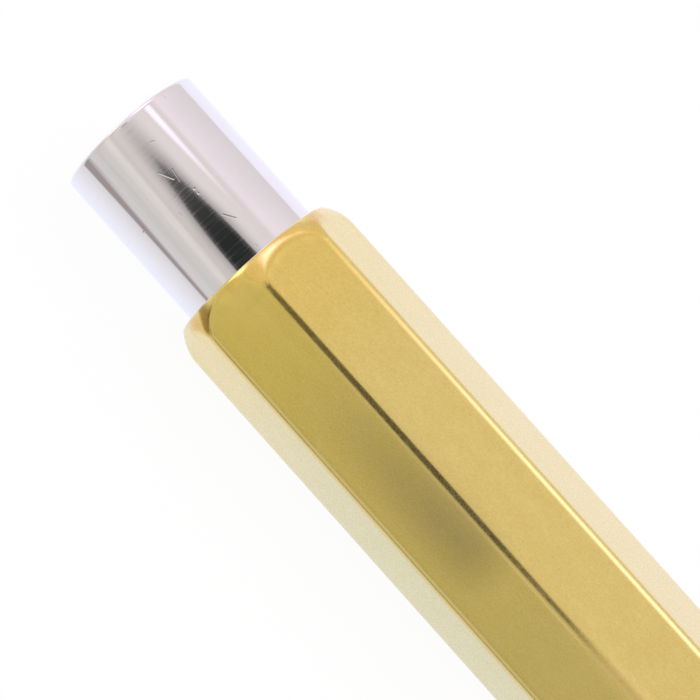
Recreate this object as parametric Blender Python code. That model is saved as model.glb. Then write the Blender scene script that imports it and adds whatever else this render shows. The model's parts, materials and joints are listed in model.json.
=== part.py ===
"""Clutch pencil for a thick lead: an octagonal brass barrel with a chromed push button.

All pieces lie round one axis along X. Stations along it are measured from the barrel's rear face,
with the button behind it (towards -X) and the writing point ahead of it (towards +X). The pencil
rests on one flat of the barrel, with the origin under its middle.
"""

import math

import bmesh
import bpy
from mathutils import Matrix, Vector

MM = 0.001

# Clearances between neighbouring pieces
RUN_CLEARANCE = 0.10 * MM
FIT_CLEARANCE = 0.05 * MM
FACE_GAP = 0.10 * MM

# Lead
LEAD_DIAMETER = 5.6 * MM
LEAD_STANDOUT = 7.0 * MM
LEAD_POINT_ANGLE = math.radians(22.0)
LEAD_TIP_RADIUS = 0.25 * MM
LEAD_SPARE_ROOM = 22.0 * MM

# Lead tube, with the ring that seats the spring
TUBE_CLEARANCE = 0.15 * MM
TUBE_WALL = 0.40 * MM
COLLAR_LENGTH = 1.5 * MM

# Push button
BUTTON_STANDOUT = 11.0 * MM
BUTTON_EDGE_ROUND = 0.28 * MM
SHELL_WALL = 0.57 * MM
SHELL_END = 0.80 * MM
SKIRT_BEYOND_BUSH = 2.0 * MM
BUSH_WALL = 0.70 * MM
BUSH_LENGTH = 7.0 * MM
THREAD_SETBACK = 0.3 * MM

# Sharpener inside the button
SHARPENER_FLOOR = 1.0 * MM
SHARPENER_MOUTH_CLEARANCE = 0.35 * MM
SHARPENER_FLUTE_DEPTH = 0.35 * MM
SHARPENER_FLUTES = 8

# Barrel
BARREL_LENGTH = 83.8 * MM
BARREL_WALL = 0.98 * MM
BARREL_EDGE_RADIUS = 1.0 * MM
CROWN_RADIUS = 3.2 * MM
CROWN_SWEEP = math.radians(38.5)
CROWN_RIM_ROUND = 0.25 * MM
CROWN_RUNOUT = math.radians(8.0)
BARREL_TAPER_LENGTH = 10.0 * MM
BARREL_NOSE_WALL = 0.50 * MM
BORE_CHAMFER = 0.15 * MM
SHOULDER_WIDTH = 0.50 * MM
COLLET_ROOM = 0.35 * MM

# Return spring and its front seat
SPRING_WIRE = 0.70 * MM
SPRING_LENGTH = 22.0 * MM
SPRING_CURLS = 11
WASHER_THICKNESS = 0.50 * MM
GUIDE_LENGTH = 8.0 * MM

# Nose ferrule
FERRULE_STANDOUT = 8.0 * MM
FERRULE_SHANK_LENGTH = 12.0 * MM
FERRULE_WALL = 0.85 * MM
FERRULE_MOUTH_WALL = 0.50 * MM
SEAT_LENGTH = 1.6 * MM

# Collet
COLLET_WALL = 0.40 * MM
COLLET_SOCKET_DEPTH = 3.5 * MM
COLLET_RING_LENGTH = 2.0 * MM
JAW_LENGTH = 22.3 * MM
JAW_STANDOUT = 2.4 * MM
JAW_ARM_THICKNESS = 0.40 * MM
JAW_CONE_ANGLE = math.radians(10.2)
JAW_GRIP_CLEARANCE = 0.06 * MM
JAW_GRIP_LENGTH = 5.0 * MM
JAW_FACE_WIDTH = 0.55 * MM
JAW_SLOT = 0.80 * MM
JAW_COUNT = 3

# Fineness of the round surfaces
ROUND_STEPS = 48
JAW_STEPS = 14
ROUND_POINTS = 4

# Radii, worked out from the lead outwards
lead_radius = LEAD_DIAMETER / 2
tube_inner = lead_radius + TUBE_CLEARANCE
tube_outer = tube_inner + TUBE_WALL
bush_inner = tube_outer + FIT_CLEARANCE
bush_outer = bush_inner + BUSH_WALL
shell_inner = bush_outer + FIT_CLEARANCE
button_radius = shell_inner + SHELL_WALL
rear_bore = button_radius + RUN_CLEARANCE
barrel_apothem = rear_bore + BARREL_WALL
barrel_corner = barrel_apothem / math.cos(math.pi / 8)
barrel_ridge = barrel_corner - BARREL_EDGE_RADIUS * (1 / math.cos(math.pi / 8) - 1)
guide_bore = rear_bore - SHOULDER_WIDTH
guide_inner = tube_outer + RUN_CLEARANCE
collet_socket = tube_outer + FIT_CLEARANCE
collet_outer = collet_socket + COLLET_WALL
collet_bore = collet_outer + COLLET_ROOM
ferrule_bore = collet_outer + RUN_CLEARANCE
ferrule_shank = ferrule_bore + FERRULE_WALL
nose_bore = ferrule_shank + FIT_CLEARANCE
nose_radius = nose_bore + BARREL_NOSE_WALL
seat_mouth = ferrule_bore + SEAT_LENGTH * math.tan(JAW_CONE_ANGLE)
ferrule_mouth = seat_mouth + FERRULE_MOUTH_WALL
jaw_inner = lead_radius + TUBE_CLEARANCE
jaw_outer = jaw_inner + JAW_ARM_THICKNESS
jaw_grip = lead_radius + JAW_GRIP_CLEARANCE

# Stations of the barrel's rear end, of the button and of the spring, from the button's end forwards
crown_length = CROWN_RADIUS * math.sin(CROWN_SWEEP)
shell_rear = -BUTTON_STANDOUT
sharpener_rear = shell_rear + SHELL_END + FACE_GAP
sharpener_mouth = lead_radius + SHARPENER_MOUTH_CLEARANCE
sharpener_depth = sharpener_mouth / math.tan(LEAD_POINT_ANGLE)
sharpener_front = sharpener_rear + SHARPENER_FLOOR + sharpener_depth
bush_rear = sharpener_front + FACE_GAP
bush_front = bush_rear + BUSH_LENGTH
shell_front = bush_front + SKIRT_BEYOND_BUSH
tube_rear = bush_rear + THREAD_SETBACK
collar_rear = shell_front + FACE_GAP
collar_front = collar_rear + COLLAR_LENGTH
spring_rear = collar_front + FACE_GAP
spring_front = spring_rear + SPRING_LENGTH
washer_rear = spring_front + FACE_GAP
washer_front = washer_rear + WASHER_THICKNESS
shoulder = washer_front + FACE_GAP
guide_front = shoulder + GUIDE_LENGTH

# Stations of the nose and of the collet, from the ferrule's mouth backwards
ferrule_front = BARREL_LENGTH + FERRULE_STANDOUT
ferrule_rear = BARREL_LENGTH - FERRULE_SHANK_LENGTH
jaw_front = ferrule_front + JAW_STANDOUT
jaw_rear = jaw_front - JAW_LENGTH
collet_front = jaw_rear - FACE_GAP
tube_front = collet_front - COLLET_RING_LENGTH - FACE_GAP
collet_rear = tube_front - COLLET_SOCKET_DEPTH
lead_front = jaw_front + LEAD_STANDOUT
lead_rear = tube_rear + LEAD_SPARE_ROOM

# A jaw turns about a line across its root, at the middle of its thickness
hinge_station = jaw_rear - FACE_GAP / 2
hinge_radius = (jaw_inner + jaw_outer) / 2


def clear_scene():
    """Remove every object, so that the script can be run again."""
    for obj in list(bpy.data.objects):
        bpy.data.objects.remove(obj)


def material(name, colour, roughness, metallic):
    """A plain Principled material."""
    made = bpy.data.materials.new(name)
    made.use_nodes = True
    shader = made.node_tree.nodes["Principled BSDF"]
    shader.inputs["Base Color"].default_value = (*colour, 1.0)
    shader.inputs["Roughness"].default_value = roughness
    shader.inputs["Metallic"].default_value = metallic
    return made


def brass(name):
    return material(name, (0.80, 0.58, 0.20), 0.25, 1.0)


def chrome(name):
    return material(name, (0.80, 0.79, 0.80), 0.06, 1.0)


def steel(name):
    return material(name, (0.56, 0.56, 0.57), 0.30, 1.0)


def arc(centre, radius, start, end, points=ROUND_POINTS):
    """Points (station, radius) on an arc, with angles in degrees from the +X direction."""
    made = []
    for index in range(points + 1):
        angle = math.radians(start + (end - start) * index / points)
        made.append((centre[0] + radius * math.cos(angle), centre[1] + radius * math.sin(angle)))
    return made


def add_object(name, mesh, look, parent):
    """Put a mesh into the scene under its parent, with its material and smooth round faces."""
    obj = bpy.data.objects.new(name, mesh)
    bpy.context.scene.collection.objects.link(obj)
    obj.parent = parent
    if look:
        mesh.materials.append(look)
    mesh.shade_smooth()
    mesh.set_sharp_from_angle(angle=math.radians(30.0))
    return obj


def add_empty(name, place, parent=None):
    """An empty that carries pieces, on their axis."""
    obj = bpy.data.objects.new(name, None)
    bpy.context.scene.collection.objects.link(obj)
    obj.location = place
    obj.parent = parent
    obj.empty_display_size = 2 * MM
    return obj


def mesh_from(work, name):
    """Turn a bmesh into a mesh, with its faces pointing out."""
    bmesh.ops.remove_doubles(work, verts=work.verts, dist=0.0001 * MM)
    bmesh.ops.recalc_face_normals(work, faces=work.faces)
    mesh = bpy.data.meshes.new(name)
    work.to_mesh(mesh)
    work.free()
    return mesh


def turned_mesh(name, outline, steps=ROUND_STEPS):
    """Turn an outline of (station, radius) points round the X axis.

    An outline that starts and ends on the axis stays open there, and any other is closed.
    """
    work = bmesh.new()
    verts = [work.verts.new((station, radius, 0.0)) for station, radius in outline]
    edges = [work.edges.new(pair) for pair in zip(verts, verts[1:])]
    if outline[0][1] > 0.0:
        edges.append(work.edges.new((verts[-1], verts[0])))
    bmesh.ops.spin(work, geom=verts + edges, cent=(0.0, 0.0, 0.0), axis=(1.0, 0.0, 0.0),
                   angle=2 * math.pi, steps=steps, use_merge=True)
    return mesh_from(work, name)


def turned(name, outline, look, parent):
    """A turned piece."""
    return add_object(name, turned_mesh(name, outline), look, parent)


def ring(name, rear, front, inner, outer, look, parent):
    """A plain turned ring between two stations."""
    return turned(name, [(rear, inner), (rear, outer), (front, outer), (front, inner)], look, parent)


def cutter(name, mesh, parent):
    """A shape that only cuts other pieces."""
    obj = add_object(name, mesh, None, parent)
    obj.hide_render = True
    obj.display_type = "WIRE"
    return obj


def boolean(obj, tool, operation):
    """Cut a piece by another shape."""
    modifier = obj.modifiers.new(tool.name, "BOOLEAN")
    modifier.operation = operation
    modifier.object = tool
    modifier.solver = "EXACT"


def octagon_bar():
    """The bar that the barrel is turned from: eight flats and eight rounded edges."""
    work = bmesh.new()
    past = crown_length
    turn = Matrix.Rotation(math.pi / 2, 4, "Y") @ Matrix.Rotation(math.pi / 8, 4, "Z")
    start = Matrix.Translation((-past, 0.0, 0.0)) @ turn
    end = bmesh.ops.create_circle(work, cap_ends=True, segments=8, radius=barrel_corner, matrix=start)
    face = end["verts"][0].link_faces[0]
    grown = bmesh.ops.extrude_face_region(work, geom=[face])
    moved = [item for item in grown["geom"] if isinstance(item, bmesh.types.BMVert)]
    bmesh.ops.translate(work, verts=moved, vec=(BARREL_LENGTH + 2 * past, 0.0, 0.0))
    bmesh.ops.recalc_face_normals(work, faces=work.faces)
    long_edges = [edge for edge in work.edges if abs(edge.verts[0].co.x - edge.verts[1].co.x) > 1 * MM]
    bmesh.ops.bevel(work, geom=long_edges, offset=BARREL_EDGE_RADIUS * math.tan(math.pi / 8),
                    offset_type="OFFSET", segments=ROUND_POINTS, profile=0.5, affect="EDGES")
    return mesh_from(work, "barrel")


def turned_envelope():
    """What the lathe leaves of the bar: a crowned rear end, and a taper at the nose."""
    clear = barrel_corner + RUN_CLEARANCE
    crown_centre = (crown_length, barrel_ridge - CROWN_RADIUS)
    # The round of the rim touches the end face and, from inside, the crown
    reach = math.sqrt((CROWN_RADIUS - CROWN_RIM_ROUND) ** 2 - (crown_length - CROWN_RIM_ROUND) ** 2)
    rim_centre = (CROWN_RIM_ROUND, crown_centre[1] + reach)
    meeting = math.degrees(math.atan2(reach, CROWN_RIM_ROUND - crown_length))
    rim = arc(rim_centre, CROWN_RIM_ROUND, 180.0, meeting)
    crown = arc(crown_centre, CROWN_RADIUS, meeting, 90.0 + math.degrees(CROWN_RUNOUT), 2 * ROUND_POINTS)
    runout = crown[-1][0] + (clear - crown[-1][1]) / math.tan(CROWN_RUNOUT)
    outline = [(0.0, 0.0)] + rim[:-1] + crown + [(runout, clear)]
    outline += [(BARREL_LENGTH - BARREL_TAPER_LENGTH, clear), (BARREL_LENGTH, nose_radius)]
    outline += [(BARREL_LENGTH, 0.0)]
    return turned_mesh("barrel_envelope", outline)


def barrel_bores():
    """The stepped bore: button and spring, tube guide, collet, then the nose ferrule."""
    past = FERRULE_STANDOUT
    guide_seat = guide_front + FACE_GAP
    ferrule_seat = ferrule_rear - FACE_GAP
    outline = [(-past, 0.0), (-past, rear_bore + BORE_CHAMFER), (0.0, rear_bore + BORE_CHAMFER)]
    outline += [(BORE_CHAMFER, rear_bore), (shoulder, rear_bore), (shoulder, guide_bore)]
    outline += [(guide_seat, guide_bore), (guide_seat, collet_bore)]
    outline += [(ferrule_seat, collet_bore), (ferrule_seat, nose_bore)]
    outline += [(BARREL_LENGTH + past, nose_bore), (BARREL_LENGTH + past, 0.0)]
    return turned_mesh("barrel_bores", outline)


def make_barrel(parent):
    """Octagonal brass barrel, turned at both ends and bored through."""
    obj = add_object("barrel", octagon_bar(), brass("barrel_brass"), parent)
    envelope = cutter("barrel_envelope", turned_envelope(), parent)
    # Half a facet round, so that no facet's edge runs along a corner of the bar
    envelope.rotation_euler = (math.pi / ROUND_STEPS, 0.0, 0.0)
    boolean(obj, envelope, "INTERSECT")
    boolean(obj, cutter("barrel_bores", barrel_bores(), parent), "DIFFERENCE")


def make_button(parent):
    """Chromed button shell, with the threaded bush and the sharpener that are pressed into it."""
    edge = arc((shell_rear + BUTTON_EDGE_ROUND, button_radius - BUTTON_EDGE_ROUND), BUTTON_EDGE_ROUND,
               180.0, 90.0)
    outline = [(shell_rear, 0.0)] + edge + [(shell_front, button_radius), (shell_front, shell_inner)]
    outline += [(shell_rear + SHELL_END, shell_inner), (shell_rear + SHELL_END, 0.0)]
    turned("button_shell", outline, chrome("button_chrome"), parent)
    ring("thread_bush", bush_rear, bush_front, bush_inner, bush_outer, brass("bush_brass"), parent)
    insert = turned("sharpener_insert",
                    [(sharpener_rear, 0.0), (sharpener_rear, bush_outer), (sharpener_front, bush_outer),
                     (sharpener_front, 0.0)],
                    steel("sharpener_steel"), parent)
    boolean(insert, cutter("sharpener_cone", fluted_cone(), parent), "DIFFERENCE")


def fluted_cone():
    """The sharpener's conical hole, with cutting ridges between its flutes."""
    work = bmesh.new()
    past = SHARPENER_FLOOR
    reach = (sharpener_depth + past) / sharpener_depth
    mouth = []
    for index in range(2 * SHARPENER_FLUTES):
        ridge = SHARPENER_FLUTE_DEPTH if index % 2 else 0.0
        radius = (sharpener_mouth - ridge) * reach
        angle = math.pi * index / SHARPENER_FLUTES
        point = (sharpener_front + past, radius * math.cos(angle), radius * math.sin(angle))
        mouth.append(work.verts.new(point))
    apex = work.verts.new((sharpener_front - sharpener_depth, 0.0, 0.0))
    work.faces.new(mouth)
    for index, vert in enumerate(mouth):
        work.faces.new((vert, mouth[index - 1], apex))
    return mesh_from(work, "sharpener_cone")


def make_plunger(parent):
    """Lead tube, with the collar that the spring pushes on and the ring that carries the jaws."""
    ring("lead_tube", tube_rear, tube_front, tube_inner, tube_outer, brass("tube_brass"), parent)
    collar_outer = button_radius
    ring("spring_collar", collar_rear, collar_front, bush_inner, collar_outer, steel("collar_steel"), parent)
    socket_floor = collet_front - COLLET_RING_LENGTH
    outline = [(collet_rear, collet_socket), (collet_rear, collet_outer), (collet_front, collet_outer),
               (collet_front, jaw_inner), (socket_floor, jaw_inner), (socket_floor, collet_socket)]
    turned("collet_shank", outline, steel("collet_steel"), parent)


def jaw_mesh():
    """One jaw: a sector of the turned collet, in its own frame on the line that it turns about."""
    slope = math.tan(JAW_CONE_ANGLE)
    cone_at_mouth = seat_mouth - FIT_CLEARANCE
    cone_start = ferrule_front - (cone_at_mouth - jaw_outer) / slope
    lip = ferrule_front + FACE_GAP
    lip_radius = cone_at_mouth + FACE_GAP * slope
    face_radius = jaw_grip + JAW_FACE_WIDTH
    grip_start = jaw_front - JAW_GRIP_LENGTH
    nose = arc((lip, face_radius), 1.0, 90.0, 0.0)
    nose = [(lip + (jaw_front - lip) * (station - lip),
             face_radius + (lip_radius - face_radius) * (radius - face_radius)) for station, radius in nose]
    outline = [(jaw_rear, jaw_inner), (jaw_rear, jaw_outer), (cone_start, jaw_outer)] + nose
    outline += [(jaw_front, jaw_grip), (grip_start, jaw_grip), (grip_start, jaw_inner)]

    sweep = 2 * math.pi / JAW_COUNT - JAW_SLOT / jaw_outer
    work = bmesh.new()
    verts = [work.verts.new((station, radius, 0.0)) for station, radius in outline]
    side = work.faces.new(verts)
    bmesh.ops.rotate(work, verts=verts, cent=(0.0, 0.0, 0.0), matrix=Matrix.Rotation(-sweep / 2, 3, "X"))
    far_side = bmesh.ops.duplicate(work, geom=[side])
    far_verts = [item for item in far_side["geom"] if isinstance(item, bmesh.types.BMVert)]
    bmesh.ops.rotate(work, verts=far_verts, cent=(0.0, 0.0, 0.0), matrix=Matrix.Rotation(sweep, 3, "X"))
    edges = list(side.edges)
    bmesh.ops.spin(work, geom=verts + edges, cent=(0.0, 0.0, 0.0), axis=(1.0, 0.0, 0.0),
                   angle=sweep, steps=JAW_STEPS)
    bmesh.ops.translate(work, verts=work.verts, vec=(-hinge_station, -hinge_radius, 0.0))
    return mesh_from(work, "collet_jaw")


def make_jaws(parent):
    """The collet's jaws, each under an empty on the line that it turns about."""
    mesh = jaw_mesh()
    look = steel("jaw_steel")
    for index in range(JAW_COUNT):
        angle = math.pi / 2 + 2 * math.pi * index / JAW_COUNT
        place = Vector((hinge_station, hinge_radius * math.cos(angle), hinge_radius * math.sin(angle)))
        hinge = add_empty(f"jaw_hinge_{index + 1}", place, parent)
        hinge.rotation_euler = (angle, 0.0, 0.0)
        add_object(f"collet_jaw_{index + 1}", mesh, None if index else look, hinge)


def make_nose(parent):
    """Chromed nose ferrule: a shank in the barrel, a tapered nose and the seat of the jaws."""
    seat_rear = ferrule_front - SEAT_LENGTH
    collar = BARREL_LENGTH + FACE_GAP
    outline = [(ferrule_rear, ferrule_bore), (ferrule_rear, ferrule_shank), (collar, ferrule_shank),
               (collar, nose_radius), (ferrule_front, ferrule_mouth), (ferrule_front, seat_mouth),
               (seat_rear, ferrule_bore)]
    turned("nose_ferrule", outline, chrome("nose_chrome"), parent)


def make_lead(parent):
    """Graphite lead with a sharpened point."""
    point_length = (lead_radius - LEAD_TIP_RADIUS) / math.tan(LEAD_POINT_ANGLE)
    outline = [(lead_rear, 0.0), (lead_rear, lead_radius), (lead_front - point_length, lead_radius),
               (lead_front, LEAD_TIP_RADIUS), (lead_front, 0.0)]
    turned("lead", outline, material("lead_graphite", (0.055, 0.055, 0.06), 0.45, 0.35), parent)


def make_spring_seat(parent):
    """What carries the spring's front end and guides the tube, inside the barrel."""
    ring("spring_washer", washer_rear, washer_front, guide_inner, rear_bore - RUN_CLEARANCE,
         steel("washer_steel"), parent)
    ring("guide_bush", shoulder, guide_front, guide_inner, guide_bore - FIT_CLEARANCE,
         material("guide_acetal", (0.72, 0.71, 0.67), 0.4, 0.0), parent)


def make_spring(parent):
    """Return spring: one open helix of round wire."""
    points_per_curl = 10
    mean_radius = (tube_outer + rear_bore) / 2
    first = spring_rear + SPRING_WIRE / 2
    reach = SPRING_LENGTH - SPRING_WIRE
    count = SPRING_CURLS * points_per_curl
    points = []
    for index in range(count + 1):
        angle = 2 * math.pi * index / points_per_curl
        points.append(Vector((first + reach * index / count, mean_radius * math.cos(angle),
                              mean_radius * math.sin(angle))))
    curve = bpy.data.curves.new("return_spring", "CURVE")
    curve.dimensions = "3D"
    spline = curve.splines.new("POLY")
    spline.points.add(count)
    for place, point in zip(spline.points, points):
        place.co = (*point, 1.0)
    curve.bevel_depth = SPRING_WIRE / 2
    curve.bevel_resolution = 1
    curve.use_fill_caps = True
    curve.materials.append(steel("spring_steel"))
    obj = bpy.data.objects.new("return_spring", curve)
    bpy.context.scene.collection.objects.link(obj)
    obj.parent = parent
    half_curl = points_per_curl // 2
    nearest = min((points[b] - points[a]).length for a in range(count + 1)
                  for b in range(a + half_curl, count + 1))
    print(f"return_spring: least gap to itself {(nearest - SPRING_WIRE) / MM:.2f} mm")


def main():
    clear_scene()
    middle = (shell_rear + lead_front) / 2
    axis = add_empty("pencil_axis", (-middle, 0.0, barrel_apothem))
    plunger = add_empty("plunger_axis", (0.0, 0.0, 0.0), axis)
    button = add_empty("button_axis", (0.0, 0.0, 0.0), plunger)
    make_barrel(axis)
    make_nose(axis)
    make_spring_seat(axis)
    make_spring(axis)
    make_plunger(plunger)
    make_jaws(plunger)
    make_lead(plunger)
    make_button(button)


main()
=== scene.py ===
"""Looks of the clutch pencil: fine skins in brass, chrome, steel, plastic and graphite, in a white studio.

Stations run along the pencil's axis from the barrel's rear face, in metres. Angles round the axis run
from +Y towards +Z.
"""

import json
import math

import bmesh
import bpy
from mathutils import Matrix, Vector


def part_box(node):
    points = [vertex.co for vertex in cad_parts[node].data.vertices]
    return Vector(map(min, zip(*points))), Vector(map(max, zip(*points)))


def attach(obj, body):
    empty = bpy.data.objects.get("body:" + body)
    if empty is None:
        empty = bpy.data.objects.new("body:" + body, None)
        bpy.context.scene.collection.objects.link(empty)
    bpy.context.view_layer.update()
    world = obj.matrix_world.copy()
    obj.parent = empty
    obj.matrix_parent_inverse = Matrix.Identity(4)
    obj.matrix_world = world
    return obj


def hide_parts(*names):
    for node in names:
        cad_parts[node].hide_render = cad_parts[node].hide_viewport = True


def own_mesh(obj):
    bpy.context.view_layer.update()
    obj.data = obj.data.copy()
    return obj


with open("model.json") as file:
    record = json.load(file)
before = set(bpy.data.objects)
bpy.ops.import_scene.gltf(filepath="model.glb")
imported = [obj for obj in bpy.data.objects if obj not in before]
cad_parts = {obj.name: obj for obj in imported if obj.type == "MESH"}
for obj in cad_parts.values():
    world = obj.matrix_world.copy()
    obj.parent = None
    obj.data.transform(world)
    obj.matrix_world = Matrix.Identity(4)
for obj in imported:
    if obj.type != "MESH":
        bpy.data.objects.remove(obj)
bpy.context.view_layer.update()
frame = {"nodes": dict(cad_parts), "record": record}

MM = 0.001
EIGHTH = math.pi / 4
DEGREES = 180.0 / math.pi

# Clearances and walls of the solids, which their boxes do not tell
RUN_CLEARANCE = 0.10 * MM
FIT_CLEARANCE = 0.05 * MM
FACE_GAP = 0.10 * MM
BUTTON_EDGE_ROUND = 0.28 * MM
SHELL_END = 0.80 * MM
BORE_CHAMFER = 0.15 * MM
COLLET_ROOM = 0.35 * MM
COLLET_RING_LENGTH = 2.0 * MM
FERRULE_WALL = 0.85 * MM
FERRULE_MOUTH_WALL = 0.50 * MM
SEAT_LENGTH = 1.6 * MM

# Barrel: rounded edges, a crown at the rear, a taper at the nose, and edges softened by polishing
EDGE_RADIUS = 1.0 * MM
CROWN_RADIUS = 3.2 * MM
CROWN_SWEEP = math.radians(38.5)
RIM_ROUND = 0.25 * MM
TAPER_LENGTH = 10.0 * MM
POLISH = 0.16 * MM
CRISP_CORNER = 3.5 * EIGHTH
CRISP_REACH = math.radians(25.0)
CRISP_START = 0.6
CRISP_POLISH = 0.15
NOSE_ROUND = 0.12 * MM

# Collet jaws
JAW_ARM = 0.40 * MM
JAW_CONE_ANGLE = math.radians(10.2)
JAW_GRIP_CLEARANCE = 0.06 * MM
JAW_GRIP_LENGTH = 5.0 * MM
JAW_FACE_WIDTH = 0.55 * MM
JAW_SLOT = 0.80 * MM
JAW_COUNT = 3
GRIP_GROOVES = 6
GRIP_GROOVE_DEPTH = 0.08 * MM
GRIP_GROOVE_SHAPE = ((0.0, 0.0), (0.5, 0.0), (0.62, 1.0), (0.86, 1.0))
GRIP_STEP = 0.01 * MM
LIP_LENGTH = 0.4 * MM

# Threads, sharpener, lead and spring
THREAD_PITCH = 0.75 * MM
THREAD_DEPTH = 0.14 * MM
THREAD_LENGTH = 7.0 * MM
THREAD_SLOPE = 3.2
SHARPENER_MOUTH_CLEARANCE = 0.35 * MM
SHARPENER_FLUTE_DEPTH = 0.35 * MM
SHARPENER_FLUTES = 8
SHARPENER_FLUTE_RISE = 0.8
LEAD_POINT_ANGLE = math.radians(22.0)
LEAD_TIP_RADIUS = 0.25 * MM
SPRING_WIRE = 0.70 * MM
SPRING_CURLS = 11
SPRING_CLOSED_CURLS = 0.9
SPRING_EASE = 0.4
SPRING_CLOSED_PITCH = 1.02 * SPRING_WIRE
SOFT_EDGE = 0.08 * MM

# Fineness
ROUND_LIMIT = 0.40
ROUND_GUARD = 1.1
TURN_STEPS = 128
RIM_STEPS = 10
CROWN_STEPS = 90
STRAIGHT_STEPS = 12
TAPER_STEPS = 90
FLAT_STEPS = 24
EDGE_STEPS = 14
ROUND_STEPS = 6
CURL_STEPS = 48
WIRE_STEPS = 16
JAW_STEPS = 36
LIP_STEPS = 8
THREAD_STEPS = 12
FLUTE_STEPS = 16
SHARP_ANGLE = math.radians(35.0)

# The barrel's edge that the camera looks down on, the way across it, and the flat beside the crown corner
# that gets a painted dark reflection
SEEN_EDGE = 2.5 * EIGHTH
CAMERA_SIDE = Vector((0.0, math.cos(SEEN_EDGE), math.sin(SEEN_EDGE)))
ACROSS = Vector((0.0, math.sin(SEEN_EDGE), -math.cos(SEEN_EDGE)))
CORNER_FLAT = Vector((0.0, math.cos(3 * EIGHTH), math.sin(3 * EIGHTH)))

barrel_low, barrel_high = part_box("barrel")
barrel_rear = barrel_low.x
barrel_length = barrel_high.x - barrel_low.x
axis_height = (barrel_low.z + barrel_high.z) / 2
apothem = (barrel_high.z - barrel_low.z) / 2


def span(node):
    """First and last station of a solid."""
    low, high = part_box(node)
    return low.x - barrel_rear, high.x - barrel_rear


def radii(node):
    """Smallest and largest radius of a solid round the pencil's axis."""
    verts = frame["nodes"][node].data.vertices
    found = [math.hypot(vert.co.y, vert.co.z - axis_height) for vert in verts]
    return min(found), max(found)


shell_rear, shell_front = span("button_shell")
button_radius = radii("button_shell")[1]
bush_inner, bush_outer = radii("thread_bush")
tube_inner, tube_outer = radii("lead_tube")
guide_outer = radii("guide_bush")[1]
collet_outer = radii("collet_shank")[1]
lead_radius = radii("lead")[1]
ferrule_rear, ferrule_front = span("nose_ferrule")
nose_radius = radii("nose_ferrule")[1]
rear_bore = button_radius + RUN_CLEARANCE
ferrule_bore = collet_outer + RUN_CLEARANCE
ferrule_shank = ferrule_bore + FERRULE_WALL
seat_mouth = ferrule_bore + SEAT_LENGTH * math.tan(JAW_CONE_ANGLE)


def place(station, radius, angle):
    """A point in the row frame."""
    return (barrel_rear + station, radius * math.cos(angle), axis_height + radius * math.sin(angle))


def even_angles(count):
    """Angles of a full turn, evenly spaced."""
    return [2 * math.pi * index / count for index in range(count)]


def steps(first, last, count):
    """Evenly spaced values, both ends included."""
    return [first + (last - first) * index / count for index in range(count + 1)]


def add_object(name, verts, faces):
    """A smooth mesh object from points and faces, with its faces pointing out."""
    mesh = bpy.data.meshes.new(name)
    mesh.from_pydata(verts, [], faces)
    work = bmesh.new()
    work.from_mesh(mesh)
    bmesh.ops.recalc_face_normals(work, faces=work.faces)
    work.to_mesh(mesh)
    work.free()
    mesh.shade_smooth()
    mesh.set_sharp_from_angle(angle=SHARP_ANGLE)
    obj = bpy.data.objects.new(name, mesh)
    bpy.context.scene.collection.objects.link(obj)
    return obj


def bridge(first, second):
    """Faces between two rings of vertex numbers, either of which may be a single vertex."""
    count = max(len(first), len(second))
    faces = []
    for index in range(count):
        after = (index + 1) % count
        corners = [first[index % len(first)], first[after % len(first)],
                   second[after % len(second)], second[index % len(second)]]
        faces.append(tuple(dict.fromkeys(corners)))
    return faces


def loft(name, outline, angles):
    """A closed skin of rings round the axis.

    The outline is a list of (station, radius), where a radius may be a function of the angle. An
    outline that starts on the axis also ends there, and any other runs from its last ring to its first.
    """
    verts = []
    rings = []
    for station, radius in outline:
        if callable(radius):
            points = [place(station, radius(angle), angle) for angle in angles]
        elif radius > 0.0:
            points = [place(station, radius, angle) for angle in angles]
        else:
            points = [place(station, 0.0, 0.0)]
        rings.append(list(range(len(verts), len(verts) + len(points))))
        verts += points
    faces = []
    for first, second in zip(rings, rings[1:]):
        faces += bridge(first, second)
    if len(rings[0]) > 1:
        faces += bridge(rings[-1], rings[0])
    return add_object(name, verts, faces)


def rounded(outline):
    """Round the corners of an outline of (station, radius, size of the round) points."""
    made = []
    closed = outline[0][1] > 0.0
    for index, (station, radius, size) in enumerate(outline):
        at_end = index in (0, len(outline) - 1)
        if size == 0.0 or (at_end and not closed):
            made.append((station, radius))
            continue
        here = Vector((station, radius))
        before = Vector(outline[index - 1][:2]) - here
        after = Vector(outline[(index + 1) % len(outline)][:2]) - here
        half = before.angle(after) / 2
        reach = min(size / math.tan(half), ROUND_LIMIT * before.length, ROUND_LIMIT * after.length)
        start = here + before.normalized() * reach
        end = here + after.normalized() * reach
        curve = [start * (1 - share) ** 2 + here * 2 * share * (1 - share) + end * share ** 2
                 for share in steps(0.0, 1.0, ROUND_STEPS)]
        # A ring on either side of the round keeps the shading of the straight parts straight
        first = here + before.normalized() * ROUND_GUARD * reach
        last = here + after.normalized() * ROUND_GUARD * reach
        made += [(point.x, point.y) for point in [first, *curve, last]]
    return made


def turned(name, outline):
    """A turned piece with rounded corners."""
    return loft(name, rounded(outline), even_angles(TURN_STEPS))


def ring(name, node):
    """The turned skin of a solid that is a plain ring."""
    rear, front = span(node)
    inner, outer = radii(node)
    return turned(name, [(rear, inner, SOFT_EDGE), (rear, outer, SOFT_EDGE),
                         (front, outer, SOFT_EDGE), (front, inner, SOFT_EDGE)])


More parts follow.
